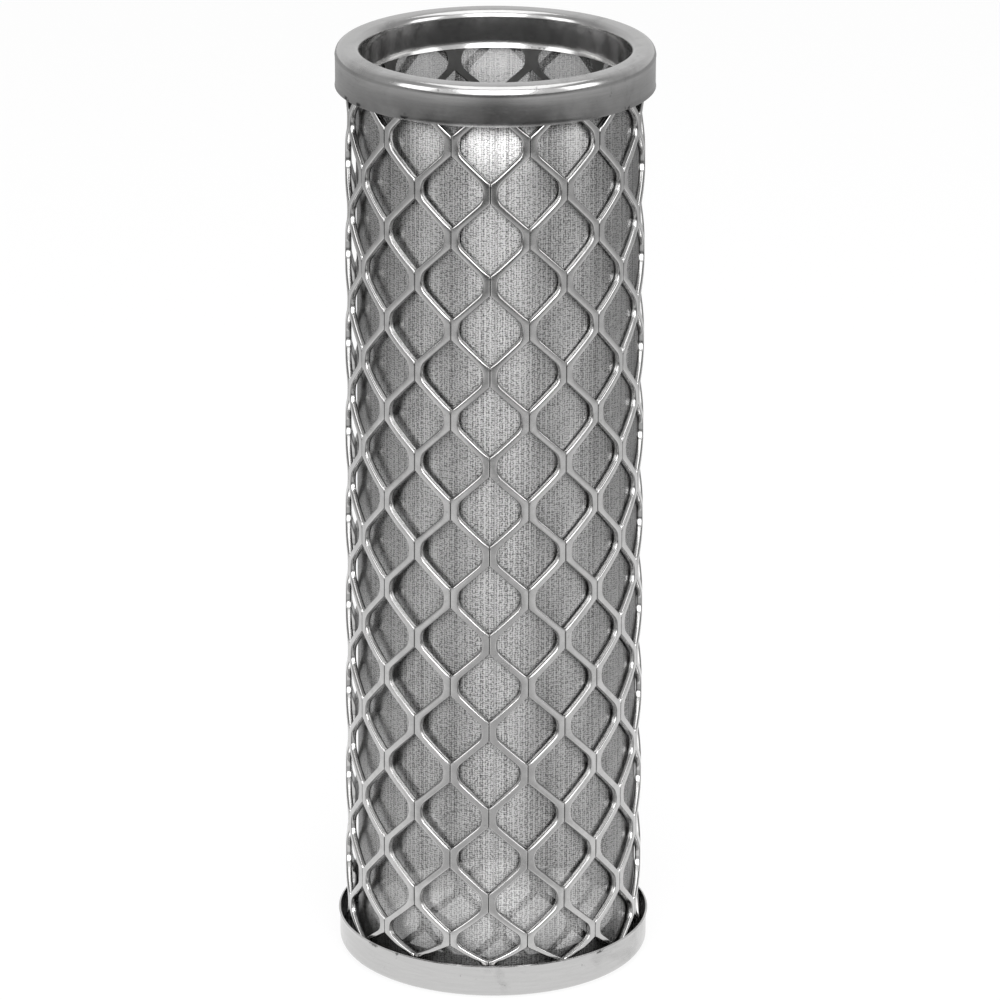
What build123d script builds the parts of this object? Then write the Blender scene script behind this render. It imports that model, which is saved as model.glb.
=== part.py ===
from build123d import *

import math
import os

# Cylindrical mesh filter element: two channel-section end caps, an
# expanded-metal guard, a woven wire screen and an expanded-metal core.
# Millimetres, +Z up, the element stands on its bottom end cap at Z = 0.

# Driving dimensions of the whole element
TOTAL_HEIGHT = 250.0
CAP_SHEET = 0.5
FLANGE_CLEARANCE = 0.4
SCREEN_CLEARANCE = 0.15

# Top end cap, a channel ring that opens downward
TOP_SKIRT_RADIUS = 41.4
TOP_CHANNEL_WIDTH = 6.5
TOP_BORE_RADIUS = TOP_SKIRT_RADIUS - TOP_CHANNEL_WIDTH
TOP_SKIRT_DEPTH = 10.4
TOP_FLANGE_DEPTH = 10.0
TOP_OUTER_ROUNDING = 2.0
TOP_INNER_ROUNDING = 1.4
TOP_EDGE_FLARE = 0.12
TOP_FLANGE_TURN_IN = 0.4

# Bottom end cap, a channel ring that opens upward
BOTTOM_SKIRT_EXCESS = 0.1
BOTTOM_CHANNEL_WIDTH = 9.0
BOTTOM_SKIRT_RADIUS = TOP_SKIRT_RADIUS + BOTTOM_SKIRT_EXCESS
BOTTOM_BORE_RADIUS = BOTTOM_SKIRT_RADIUS - BOTTOM_CHANNEL_WIDTH
BOTTOM_SKIRT_DEPTH = 9.0
BOTTOM_FLANGE_DEPTH = 8.0
BOTTOM_OUTER_ROUNDING = 2.0
BOTTOM_INNER_ROUNDING = 1.2
BOTTOM_EDGE_FLARE = 0.35
BOTTOM_FLANGE_TURN_IN = 0.0

# Height of the band at a cap's free edges over which they flare or turn in
EDGE_BAND = 1.4

# Bond rings that fill the floor of each channel and carry the tubes
BOND_CLEARANCE = 0.25
TOP_BOND_DEPTH = 3.85
BOTTOM_BOND_DEPTH = 1.55
TUBE_TOP = round(TOTAL_HEIGHT - CAP_SHEET - TOP_BOND_DEPTH, 6)
TUBE_BOTTOM = round(CAP_SHEET + BOTTOM_BOND_DEPTH, 6)
TUBE_LENGTH = TUBE_TOP - TUBE_BOTTOM

# Outer guard, raised expanded metal rolled with the long way vertical
GUARD_CELLS = 12
GUARD_PITCHES = 10
GUARD_TOP_CLEARANCE = 2.1
GUARD_BOTTOM_CLEARANCE = 1.05
GUARD_TOP_RADIUS = TOP_SKIRT_RADIUS - CAP_SHEET - GUARD_TOP_CLEARANCE
GUARD_BOTTOM_RADIUS = BOTTOM_SKIRT_RADIUS - CAP_SHEET - GUARD_BOTTOM_CLEARANCE
GUARD_DEPTH = 1.5
GUARD_STRAND = 1.85
GUARD_BOND_LENGTH = 3.9
GUARD_BOND_LENGTH_INSIDE = 2.3
GUARD_BOND_FLAT = 2.4
GUARD_CREASE = 0.25
GUARD_PHASE = -1.73

# The guard's last bonds sit crowded upward toward the bottom end cap's lip
CROWDING_TOP = 24.0
CROWDING_FOOT = 4.0
GUARD_CROWDING = 5.4

# Inner core, flattened expanded metal
CORE_CELLS = 11
CORE_PITCHES = 10
CORE_DEPTH = 0.5
CORE_STRAND = 1.95
CORE_BOND_LENGTH = 2.0
CORE_CREASE = 0.05
CORE_PHASE = 165.3
CORE_FIRST_BOND = 9.05
CORE_CROWDING = 0.0

# Woven wire screen with upright ridges and one lap seam
SCREEN_WALL = 0.3
SCREEN_RIDGES = 72
SCREEN_RIDGE_HEIGHT = 0.12
SCREEN_TAPER = 0.6
SEAM_RAISE = 0.25
SEAM_CENTRE = 110.0
SEAM_WIDTH_ANGLE = 10.0

# Radii of the tubes, stacked outward from the top cap's flange
CORE_INNER_RADIUS = TOP_BORE_RADIUS + CAP_SHEET + FLANGE_CLEARANCE
CORE_OUTER_RADIUS = CORE_INNER_RADIUS + CORE_DEPTH
SCREEN_TOP_BORE = CORE_OUTER_RADIUS + SCREEN_CLEARANCE
SCREEN_BOTTOM_BORE = SCREEN_TOP_BORE + SCREEN_TAPER


def channel_outline(skirt_r, bore_r, skirt_depth, flange_depth, rounding_out,
                    rounding_in, flare, turn_in):
    """Closed half section of a channel ring that opens downward from height 0."""
    t = CAP_SHEET
    half = math.sqrt(0.5)
    out_centre = skirt_r - rounding_out
    in_centre = bore_r + rounding_in
    corner_out = (out_centre + rounding_out * half, -rounding_out * (1 - half))
    corner_in = (in_centre - rounding_in * half, -rounding_in * (1 - half))
    skirt = [(skirt_r, -rounding_out)]
    skirt.append((skirt_r, -skirt_depth + EDGE_BAND))
    skirt.append((skirt_r + flare, -skirt_depth))
    flange = [(bore_r, -rounding_in)]
    if turn_in:
        flange.append((bore_r, -flange_depth + EDGE_BAND))
    flange.append((bore_r - turn_in, -flange_depth))
    skirt_inside = [(r - t, z) for r, z in reversed(skirt)]
    flange_inside = [(r + t, z) for r, z in reversed(flange)]
    floor = [(in_centre, -t), (out_centre, -t)]
    edges = [
        ThreePointArc(skirt[0], corner_out, (out_centre, 0.0)),
        Line((out_centre, 0.0), (in_centre, 0.0)),
        ThreePointArc((in_centre, 0.0), corner_in, flange[0]),
        *Polyline(flange + flange_inside + floor + skirt_inside[::-1]).edges(),
        *Polyline(skirt_inside[:1] + skirt[::-1]).edges(),
    ]
    return Face(Wire(edges))


def channel_ring(**sizes):
    """Channel ring about the Z axis, crest at height 0, opening downward."""
    section = Plane.XZ * channel_outline(**sizes)
    return revolve(section, Axis.Z, 360)


def top_end_cap():
    ring = channel_ring(
        skirt_r=TOP_SKIRT_RADIUS,
        bore_r=TOP_BORE_RADIUS,
        skirt_depth=TOP_SKIRT_DEPTH,
        flange_depth=TOP_FLANGE_DEPTH,
        rounding_out=TOP_OUTER_ROUNDING,
        rounding_in=TOP_INNER_ROUNDING,
        flare=TOP_EDGE_FLARE,
        turn_in=TOP_FLANGE_TURN_IN,
    )
    return Pos(0, 0, TOTAL_HEIGHT) * ring


def bottom_end_cap():
    ring = channel_ring(
        skirt_r=BOTTOM_SKIRT_RADIUS,
        bore_r=BOTTOM_BORE_RADIUS,
        skirt_depth=BOTTOM_SKIRT_DEPTH,
        flange_depth=BOTTOM_FLANGE_DEPTH,
        rounding_out=BOTTOM_OUTER_ROUNDING,
        rounding_in=BOTTOM_INNER_ROUNDING,
        flare=BOTTOM_EDGE_FLARE,
        turn_in=BOTTOM_FLANGE_TURN_IN,
    )
    return Rot(180, 0, 0) * ring


def bond_ring(skirt_r, bore_r, rounding_out, rounding_in, floor, face):
    """Ring between the walls of a channel, clear of both, with bevelled floor edges."""
    outer = skirt_r - CAP_SHEET - BOND_CLEARANCE
    inner = bore_r + CAP_SHEET + BOND_CLEARANCE
    bevel_out = rounding_out - CAP_SHEET
    bevel_in = rounding_in - CAP_SHEET
    toward_face = math.copysign(1, face - floor)
    section = Plane.XZ * Polygon(
        (inner + bevel_in, floor),
        (outer - bevel_out, floor),
        (outer, floor + toward_face * bevel_out),
        (outer, face),
        (inner, face),
        (inner, floor + toward_face * bevel_in),
        align=None,
    )
    return revolve(section, Axis.Z, 360)


def top_bond_ring():
    return bond_ring(
        skirt_r=TOP_SKIRT_RADIUS,
        bore_r=TOP_BORE_RADIUS,
        rounding_out=TOP_OUTER_ROUNDING,
        rounding_in=TOP_INNER_ROUNDING,
        floor=TOTAL_HEIGHT - CAP_SHEET,
        face=TUBE_TOP,
    )


def bottom_bond_ring():
    return bond_ring(
        skirt_r=BOTTOM_SKIRT_RADIUS,
        bore_r=BOTTOM_BORE_RADIUS,
        rounding_out=BOTTOM_OUTER_ROUNDING,
        rounding_in=BOTTOM_INNER_ROUNDING,
        floor=CAP_SHEET,
        face=TUBE_BOTTOM,
    )


class ExpandedTube:
    """Expanded-metal tube: zigzag strands that join side by side at the bonds.

    A strand's section has four corners, (outer, inner) on its left edge and
    (outer, inner) on its right edge. A corner is (angle, height, on bond line).
    """

    def __init__(self, cells, pitches, strand, bonds, flats, depth, crease, phase,
                 bond_height, crowding, radius_low, radius_high):
        self.columns = 2 * cells
        self.step = math.pi / cells
        self.half_pitch = TUBE_LENGTH / pitches / 2
        self.strand = strand
        self.bonds = bonds
        self.flats = flats
        self.depth = depth
        self.crease = crease
        self.phase = math.radians(phase)
        self.bond_height = bond_height
        self.crowding = crowding
        self.radius_low = radius_low
        self.radius_high = radius_high
        self.faces = []

    def bond_level(self, index):
        """Height of a row of bonds, counted downward from the first."""
        z = self.bond_height - index * self.half_pitch
        share = (CROWDING_TOP - z) / (CROWDING_TOP - CROWDING_FOOT)
        return round(z + self.crowding * min(max(share, 0.0), 1.0) ** 2, 6)

    def outer_radius(self, z):
        share = (z - TUBE_BOTTOM) / TUBE_LENGTH
        return self.radius_low + (self.radius_high - self.radius_low) * share

    def point(self, corner, inner):
        """Point in space of a strand's corner on the outer or inner surface."""
        angle, z, on_line = corner
        radius = self.outer_radius(z)
        if inner:
            radius -= self.depth
        elif on_line:
            radius -= self.crease
        return (radius * math.sin(angle), -radius * math.cos(angle), z)

    def station(self, ribbon, index, offset):
        """Corners of a strand above (1) or below (-1) the middle of one bond."""
        z = self.bond_level(index)
        touches_left = (ribbon + index) % 2 == 0
        line = self.phase + (ribbon if touches_left else ribbon + 1) * self.step
        sweep = self.strand / self.outer_radius(z)
        cell = line + sweep if touches_left else line - sweep
        line_edge = [(line, z + offset * bond / 2, True) for bond in self.bonds]
        cell_edge = [(cell, z + offset * flat / 2, False) for flat in self.flats]
        return line_edge + cell_edge if touches_left else cell_edge + line_edge

    @staticmethod
    def cut(above, below, level):
        """Corner of a strand where it meets a level between two stations."""
        span = above[1] - below[1]
        share = (above[1] - level) / span if span else 0.0
        angle = above[0] + (below[0] - above[0]) * share
        return (angle, level, above[2] and below[2])

    def stations(self, ribbon):
        """Stations of one strand from the tube's top to its bottom."""
        first = math.floor((self.bond_height - TUBE_TOP) / self.half_pitch)
        last = math.ceil((self.bond_height + self.crowding - TUBE_BOTTOM) / self.half_pitch)
        rows = [
            self.station(ribbon, index, offset)
            for index in range(first, last + 1)
            for offset in (1, -1)
        ]
        found = []
        for above, below in zip(rows, rows[1:]):
            for level in (TUBE_TOP, TUBE_BOTTOM):
                if all(a[1] >= level >= b[1] for a, b in zip(above, below)):
                    found.append([self.cut(a, b, level) for a, b in zip(above, below)])
            heights = [corner[1] for corner in below]
            inside = TUBE_BOTTOM <= min(heights) and max(heights) <= TUBE_TOP
            if inside and min(heights) < TUBE_TOP and max(heights) > TUBE_BOTTOM:
                found.append(below)
        return found

    def add(self, *points):
        """Adds a face as triangles, leaving out corners that fall together."""
        kept = [p for i, p in enumerate(points) if p != points[i - 1]]
        for i in range(1, len(kept) - 1):
            self.faces.append(Face(Wire.make_polygon([kept[0], kept[i], kept[i + 1]])))

    def add_wall(self, upper, lower, points_up, points_low):
        """Adds the side wall of a strand, unless the next strand touches it."""
        if not (upper[2] and lower[2]):
            self.add(points_up[0], points_low[0], points_low[1], points_up[1])

    def strand_faces(self, ribbon):
        stations = self.stations(ribbon)
        solid = [
            [self.point(corner, i % 2) for i, corner in enumerate(station)]
            for station in stations
        ]
        for upper, lower, high, low in zip(stations, stations[1:], solid, solid[1:]):
            self.add(high[0], high[2], low[2], low[0])
            self.add(high[1], low[1], low[3], high[3])
            self.add_wall(upper[0], lower[0], high[:2], low[:2])
            self.add_wall(upper[2], lower[2], high[2:], low[2:])
        for end in (solid[0], solid[-1]):
            self.add(end[0], end[1], end[3], end[2])

    def solid(self):
        for ribbon in range(self.columns):
            self.strand_faces(ribbon)
        return Solid(Shell(self.faces))


def outer_guard():
    return ExpandedTube(
        cells=GUARD_CELLS,
        pitches=GUARD_PITCHES,
        strand=GUARD_STRAND,
        bonds=(GUARD_BOND_LENGTH, GUARD_BOND_LENGTH_INSIDE),
        flats=(GUARD_BOND_FLAT, 0.0),
        depth=GUARD_DEPTH,
        crease=GUARD_CREASE,
        phase=GUARD_PHASE,
        bond_height=TUBE_TOP,
        crowding=GUARD_CROWDING,
        radius_low=GUARD_BOTTOM_RADIUS,
        radius_high=GUARD_TOP_RADIUS,
    ).solid()


def inner_core():
    return ExpandedTube(
        cells=CORE_CELLS,
        pitches=CORE_PITCHES,
        strand=CORE_STRAND,
        bonds=(CORE_BOND_LENGTH, CORE_BOND_LENGTH),
        flats=(0.0, 0.0),
        depth=CORE_DEPTH,
        crease=CORE_CREASE,
        phase=CORE_PHASE,
        bond_height=TUBE_TOP - CORE_FIRST_BOND,
        crowding=CORE_CROWDING,
        radius_low=CORE_OUTER_RADIUS,
        radius_high=CORE_OUTER_RADIUS,
    ).solid()


def screen_outline(bore, z):
    """Ridged outer outline of the screen at one height, raised along the lap seam."""
    points = []
    for i in range(2 * SCREEN_RIDGES):
        degrees = 360.0 * i / (2 * SCREEN_RIDGES)
        radius = bore + SCREEN_WALL - (0.0 if i % 2 else SCREEN_RIDGE_HEIGHT)
        if abs(degrees - SEAM_CENTRE) <= SEAM_WIDTH_ANGLE / 2:
            radius += SEAM_RAISE
        angle = math.radians(degrees)
        points.append((radius * math.sin(angle), -radius * math.cos(angle), z))
    return points


def screen_bore_outline(bore, z):
    """Bore of the screen at one height, with a corner behind every ridge."""
    half_step = math.pi / SCREEN_RIDGES
    radius = bore / math.cos(half_step)
    angles = [(2 * i + 1) * half_step for i in range(SCREEN_RIDGES)]
    return [(radius * math.sin(a), -radius * math.cos(a), z) for a in angles]


def wall_triangles(low, high):
    """Two triangles for each side of a wall between two outlines."""
    found = []
    for i in range(len(low)):
        a, b, c, d = low[i - 1], low[i], high[i], high[i - 1]
        found += [Face(Wire.make_polygon([a, b, c])), Face(Wire.make_polygon([a, c, d]))]
    return found


def mesh_screen():
    levels = ((SCREEN_BOTTOM_BORE, TUBE_BOTTOM), (SCREEN_TOP_BORE, TUBE_TOP))
    outer = [screen_outline(bore, z) for bore, z in levels]
    inner = [screen_bore_outline(bore, z) for bore, z in levels]
    faces = wall_triangles(*outer) + wall_triangles(*inner)
    for outline, hole in zip(outer, inner):
        faces.append(Face(Wire.make_polygon(outline), [Wire.make_polygon(hole)]))
    return Solid(Shell(faces))


def main():
    os.makedirs("parts", exist_ok=True)
    parts = {
        "top_end_cap": top_end_cap(),
        "bottom_end_cap": bottom_end_cap(),
        "top_bond_ring": top_bond_ring(),
        "bottom_bond_ring": bottom_bond_ring(),
        "outer_guard": outer_guard(),
        "mesh_screen": mesh_screen(),
        "inner_core": inner_core(),
    }
    for name, shape in parts.items():
        export_step(shape, f"parts/{name}.step")


if __name__ == "__main__":
    main()
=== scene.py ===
import logging
import math
from dataclasses import dataclass, field
from enum import Enum

import bmesh
import bpy
from mathutils import Matrix, Vector


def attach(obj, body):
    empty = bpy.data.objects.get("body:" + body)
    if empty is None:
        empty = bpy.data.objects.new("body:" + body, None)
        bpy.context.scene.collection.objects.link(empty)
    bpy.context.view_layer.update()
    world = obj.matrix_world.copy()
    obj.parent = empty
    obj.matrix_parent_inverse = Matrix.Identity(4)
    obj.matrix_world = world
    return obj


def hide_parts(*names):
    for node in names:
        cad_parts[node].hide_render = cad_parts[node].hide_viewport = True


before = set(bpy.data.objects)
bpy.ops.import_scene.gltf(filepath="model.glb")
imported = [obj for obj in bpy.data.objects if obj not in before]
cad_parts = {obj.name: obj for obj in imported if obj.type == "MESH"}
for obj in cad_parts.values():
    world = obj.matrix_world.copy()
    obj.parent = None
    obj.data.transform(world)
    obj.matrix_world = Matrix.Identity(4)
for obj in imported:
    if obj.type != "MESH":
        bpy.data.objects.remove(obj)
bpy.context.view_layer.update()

log = logging.getLogger("filter_element")

MM = 0.001
ROOT = "root"

Socket = bpy.types.NodeSocket
Node = bpy.types.Node
Point = tuple[float, float]


# Node helpers


class Graph:
    """Short-hand for building one node tree."""

    def __init__(self, tree: bpy.types.NodeTree) -> None:
        """Keeps the tree that the nodes go into.

        Args:
            tree: the material, world or geometry tree.
        """
        self.tree = tree

    def node(self, kind: str, **settings: object) -> Node:
        """Adds a node and sets its properties.

        Args:
            kind: the node's type name.
            settings: properties of the node, by name.

        Returns:
            The new node.
        """
        made = self.tree.nodes.new(kind)
        for name, value in settings.items():
            setattr(made, name, value)
        return made

    def feed(self, socket: Socket, value: object) -> None:
        """Links a socket to another one, or sets its constant.

        Args:
            socket: the input socket.
            value: an output socket or a constant.
        """
        if isinstance(value, bpy.types.NodeSocket):
            self.tree.links.new(value, socket)
        elif value is not None:
            socket.default_value = value

    def math(self, operation: str, *values: object, clamp: bool = False) -> Socket:
        """Adds a Math node.

        Args:
            operation: the operation's name.
            values: up to three inputs, sockets or numbers.
            clamp: True to keep the result between 0 and 1.

        Returns:
            The result's socket.
        """
        made = self.node("ShaderNodeMath", operation=operation, use_clamp=clamp)
        for socket, value in zip(made.inputs, values):
            self.feed(socket, value)
        return made.outputs[0]

    def remap(self, value: Socket, low: float, high: float, to_low: float = 0.0,
              to_high: float = 1.0) -> Socket:
        """Adds a smooth Map Range node.

        Args:
            value: the number to map.
            low: the value that maps to to_low.
            high: the value that maps to to_high.
            to_low: result at low.
            to_high: result at high.

        Returns:
            The mapped number's socket.
        """
        made = self.node("ShaderNodeMapRange", interpolation_type="SMOOTHSTEP")
        for index, item in enumerate((value, low, high, to_low, to_high)):
            self.feed(made.inputs[index], item)
        return made.outputs[0]

    def blend(self, factor: object, first: object, second: object,
              kind: str = "MIX") -> Socket:
        """Adds a colour Mix node.

        Args:
            factor: share of the second colour.
            first: first colour or socket.
            second: second colour or socket.
            kind: blend type.

        Returns:
            The mixed colour's socket.
        """
        made = self.node("ShaderNodeMix", data_type="RGBA", blend_type=kind)
        self.feed(made.inputs[0], factor)
        self.feed(made.inputs[6], first)
        self.feed(made.inputs[7], second)
        return made.outputs[2]

    def noise(self, where: Socket, scale: float, detail: float = 3.0,
              roughness: float = 0.5, stretch: tuple[float, float, float] | None = None,
              distortion: float = 0.0) -> Socket:
        """Adds a Noise texture, stretched by a Mapping node when asked.

        Args:
            where: the coordinates.
            scale: the noise's scale, in cycles per metre.
            detail: octaves.
            roughness: weight of the finer octaves.
            stretch: factors along the three axes, or None.
            distortion: how far the pattern is pulled about.

        Returns:
            The noise's number.
        """
        if stretch is not None:
            mapping = self.node("ShaderNodeMapping")
            mapping.inputs["Scale"].default_value = stretch
            self.feed(mapping.inputs["Vector"], where)
            where = mapping.outputs[0]
        made = self.node("ShaderNodeTexNoise")
        self.feed(made.inputs["Vector"], where)
        made.inputs["Scale"].default_value = scale
        made.inputs["Detail"].default_value = detail
        made.inputs["Roughness"].default_value = roughness
        made.inputs["Distortion"].default_value = distortion
        return made.outputs[0]


def grey(level: float, warmth: float = 0.0) -> tuple[float, float, float, float]:
    """Gives a nearly neutral colour.

    Args:
        level: its linear value.
        warmth: how much more red than blue.

    Returns:
        The colour with alpha 1.
    """
    return (level * (1 + warmth), level, level * (1 - warmth), 1.0)


# Finishes


@dataclass(frozen=True)
class Steel:
    """Stainless steel with rolled streaks, stains and fine scratches, and for a pierced tube painted shade
    on its walls.

    Args:
        name: the material's name.
        level: linear reflectance of the clean metal.
        roughness: mean roughness.
        streaks: strength of the drawing marks.
        stains: strength of the dark smudges.
        scratch: height of the scratches, in metres.
        grain: factors that stretch the marks along X, Y and Z.
        stain_scale: scale of the smudges, in cycles per metre.
        skin: outer radius at height 0 and at 0.25 m of a pierced tube, whose
            walls get painted shade deep below it and a painted shadow line near it, or None.
        nicks: heights of edges with small dark nicks, in metres.
        soot: heights between which dark stains thin out upward, or None.
    """

    name: str
    level: float
    roughness: float
    streaks: float = 0.10
    stains: float = 0.25
    scratch: float = 0.00001
    grain: tuple[float, float, float] = (0.6, 0.6, 9.0)
    stain_scale: float = 46.0
    skin: Point | None = None
    nicks: tuple[float, ...] = ()
    soot: Point | None = None

    def build(self) -> bpy.types.Material:
        """Builds the material.

        Returns:
            The material.
        """
        material = bpy.data.materials.new(self.name)
        material.use_nodes = True
        graph = Graph(material.node_tree)
        shader = material.node_tree.nodes["Principled BSDF"]
        where = graph.node("ShaderNodeTexCoord").outputs["Object"]
        marks = graph.noise(where, 180.0, 5.0, 0.62, self.grain)
        fine = graph.noise(where, 1500.0, 3.0, 0.6, self.grain)
        cloud = graph.noise(where, self.stain_scale, 6.0, 0.62, distortion=0.4)
        smudge = graph.remap(cloud, 0.56, 0.72)
        specks = graph.remap(graph.noise(where, 420.0, 4.0, 0.55), 0.66, 0.78)
        clean = grey(self.level, 0.006)
        worn = grey(self.level * (1.0 - self.streaks * 2.2), 0.006)
        dark = grey(self.level * 0.30, 0.01)
        colour = graph.blend(graph.remap(marks, 0.30, 0.70), worn, clean)
        dirt = graph.math("MULTIPLY", smudge, self.stains)
        colour = graph.blend(dirt, colour, dark)
        colour = graph.blend(graph.math("MULTIPLY", specks, self.stains * 1.4), colour, dark)
        if self.skin is not None:
            # Painted shade: the pierced tube's walls go dark deep below the outer face, with a thin painted
            # shadow line along the outer roundings.
            colour = graph.blend(self.painted_wall_shade(graph, where), colour, grey(self.level * 0.12))
        if self.soot is not None:
            height = graph.node("ShaderNodeSeparateXYZ")
            graph.feed(height.inputs[0], where)
            patches = graph.remap(graph.noise(where, 55.0, 4.0, 0.6), 0.36, 0.66, 0.35, 0.95)
            front = graph.remap(height.outputs[1], -0.041, -0.015, 0.80, 0.25)
            low = graph.remap(height.outputs[2], *self.soot, 1.0, 0.0)
            share = graph.math("MULTIPLY", patches, graph.math("MULTIPLY", front, low))
            colour = graph.blend(share, colour, grey(self.level * 0.18, 0.01))
        if self.nicks:
            colour = graph.blend(self.nicked(graph, where), colour, grey(self.level * 0.10))
        graph.feed(shader.inputs["Base Color"], colour)
        shader.inputs["Metallic"].default_value = 1.0
        spread = graph.remap(fine, 0.25, 0.75, self.roughness - 0.05, self.roughness + 0.07)
        rough = graph.math("ADD", spread, graph.math("MULTIPLY", smudge, 0.10))
        graph.feed(shader.inputs["Roughness"], rough)
        bump = graph.node("ShaderNodeBump")
        bump.inputs["Strength"].default_value = 0.35
        bump.inputs["Distance"].default_value = self.scratch
        height = graph.math("ADD", fine, graph.math("MULTIPLY", marks, 0.8))
        graph.feed(bump.inputs["Height"], height)
        graph.feed(shader.inputs["Normal"], bump.outputs[0])
        return material

    def painted_wall_shade(self, graph: Graph, where: Socket) -> Socket:
        """Adds the share of painted shade: a thin painted shadow line along the strands' edges, and painted
        shade on the walls deep below the skin.

        Args:
            graph: the material's helper.
            where: the object coordinates.

        Returns:
            The share, from 0 to 1.
        """
        split = graph.node("ShaderNodeSeparateXYZ")
        graph.feed(split.inputs[0], where)
        x, y, z = split.outputs
        radius = graph.math("SQRT", graph.math(
            "ADD", graph.math("MULTIPLY", x, x), graph.math("MULTIPLY", y, y)))
        low, high = self.skin
        outer = graph.math("MULTIPLY_ADD", z, (high - low) / 0.25, low)
        depth = graph.math("SUBTRACT", outer, radius)
        # A thin painted shadow line just under the outer face, and painted shade deeper down the walls.
        gap = graph.math("ABSOLUTE", graph.math("SUBTRACT", depth, 0.00020))
        edge_shadow_line = graph.remap(gap, 0.00004, 0.00014, 0.70, 0.0)
        return graph.math("MAXIMUM", edge_shadow_line, graph.remap(depth, 0.0009, 0.00135))

    def nicked(self, graph: Graph, where: Socket) -> Socket:
        """Adds the share of the small dark nicks along the sheet's edges.

        Args:
            graph: the material's helper.
            where: the object coordinates.

        Returns:
            The share, from 0 to 1.
        """
        split = graph.node("ShaderNodeSeparateXYZ")
        graph.feed(split.inputs[0], where)
        dents = graph.remap(graph.noise(where, 150.0, 3.0, 0.6), 0.60, 0.66)
        found: Socket | None = None
        for height in self.nicks:
            gap = graph.math("ABSOLUTE", graph.math("SUBTRACT", split.outputs[2], height))
            band = graph.remap(gap, 0.0001, 0.0007, 1.0, 0.0)
            found = band if found is None else graph.math("MAXIMUM", found, band)
        return graph.math("MULTIPLY", dents, found)


@dataclass(frozen=True)
class WireCloth:
    """Fine woven wire, half open, with uneven upright wires.

    Args:
        name: the material's name.
        level: linear reflectance of the wire.
        cover: share of the light that each face of the wall stops.
        roughness: mean roughness.
        wire: pitch of the upright wires, in metres.
        weft: pitch of the cross wires, in metres.
        spread: how much more the cross wires scatter light up and down.
    """

    name: str
    level: float
    cover: float
    roughness: float
    wire: float
    weft: float
    spread: float = 0.84

    def build(self) -> bpy.types.Material:
        """Builds the material, which reads the piece's UV map in metres.

        Returns:
            The material.
        """
        material = bpy.data.materials.new(self.name)
        material.use_nodes = True
        graph = Graph(material.node_tree)
        shader = material.node_tree.nodes["Principled BSDF"]
        where = graph.node("ShaderNodeUVMap", uv_map="cloth").outputs[0]
        split = graph.node("ShaderNodeSeparateXYZ")
        graph.feed(split.inputs[0], where)
        across, along = split.outputs[0], split.outputs[1]
        strips = graph.math("DIVIDE", across, self.wire)
        column = graph.math("FLOOR", strips)
        chance = graph.node("ShaderNodeTexWhiteNoise", noise_dimensions="1D")
        graph.feed(chance.inputs["W"], column)
        odd = graph.math("ABSOLUTE", graph.math("MODULO", column, 2.0))
        drift = graph.noise(where, 1.0, 1.0, 0.5, (1400.0, 60.0, 1.0))
        shift = graph.math("MULTIPLY", graph.math("ADD", chance.outputs[0], drift), self.weft)
        warp = self.wave(graph, graph.math("ADD", across, self.wire / 2), self.wire, 0.0)
        bead = self.wave(graph, graph.math("ADD", along, shift), self.weft, 0.0)
        knuckle = graph.math("MULTIPLY", graph.math("MULTIPLY_ADD", warp, 0.55, 0.45),
                             graph.math("MULTIPLY_ADD", bead, 0.60, 0.40))
        lines = graph.noise(where, 1.0, 2.0, 0.6, (640.0, 10.0, 1.0))
        broad = graph.noise(where, 1.0, 3.0, 0.55, (170.0, 14.0, 1.0))
        grains = graph.noise(where, 1.0, 1.0, 0.6, (2100.0, 1500.0, 1.0))
        rank = graph.math("MULTIPLY_ADD", odd, 0.28, graph.math(
            "MULTIPLY_ADD", chance.outputs[0], 0.24, 0.66))
        tone = graph.math("MULTIPLY", rank, graph.remap(lines, 0.34, 0.66, 0.80, 1.12))
        tone = graph.math("MULTIPLY", tone, graph.remap(broad, 0.30, 0.70, 0.88, 1.08))
        # The woven pattern, brighter on the knuckles and darker between them: the weave is the cloth's own,
        # the bright knuckles are a painted highlight and the gaps painted shade.
        tone = graph.math("MULTIPLY", tone, graph.math("MULTIPLY_ADD", knuckle, 1.55, 0.16))
        tone = graph.math("MULTIPLY", tone, graph.remap(grains, 0.34, 0.66, 0.50, 1.50), clamp=True)
        # Painted shade: the inner face of the cloth wall is darker, as the inside of the tube gets less
        # light.
        inside = graph.node("ShaderNodeAttribute", attribute_name="inside").outputs["Fac"]
        tone = graph.math("MULTIPLY", tone, graph.math("MULTIPLY_ADD", inside, -0.62, 1.0))
        colour = graph.blend(tone, grey(self.level * 0.06), grey(self.level, 0.004))
        graph.feed(shader.inputs["Base Color"], colour)
        shader.inputs["Metallic"].default_value = 1.0
        shader.inputs["Alpha"].default_value = self.cover
        graph.feed(shader.inputs["Roughness"],
                   graph.remap(grains, 0.3, 0.7, self.roughness - 0.04, self.roughness + 0.06))
        shader.inputs["Anisotropic"].default_value = self.spread
        shader.inputs["Anisotropic Rotation"].default_value = 0.25
        tangent = graph.node("ShaderNodeTangent", direction_type="UV_MAP", uv_map="cloth")
        graph.feed(shader.inputs["Tangent"], tangent.outputs[0])
        bump = graph.node("ShaderNodeBump")
        bump.inputs["Strength"].default_value = 0.4
        bump.inputs["Distance"].default_value = 0.00005
        graph.feed(bump.inputs["Height"], knuckle)
        graph.feed(shader.inputs["Normal"], bump.outputs[0])
        return material

    @staticmethod
    def wave(graph: Graph, along: Socket, pitch: float, phase: float) -> Socket:
        """Adds a cosine wave from 0 to 1.

        Args:
            graph: the tree's helper.
            along: the coordinate, in metres.
            pitch: the wave's length.
            phase: its phase, in radians.

        Returns:
            The wave's number.
        """
        turn = graph.math("ADD", graph.math("MULTIPLY", along, 2 * math.pi / pitch), phase)
        return graph.math("ADD", graph.math("MULTIPLY", graph.math("COSINE", turn), 0.5), 0.5)


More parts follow.
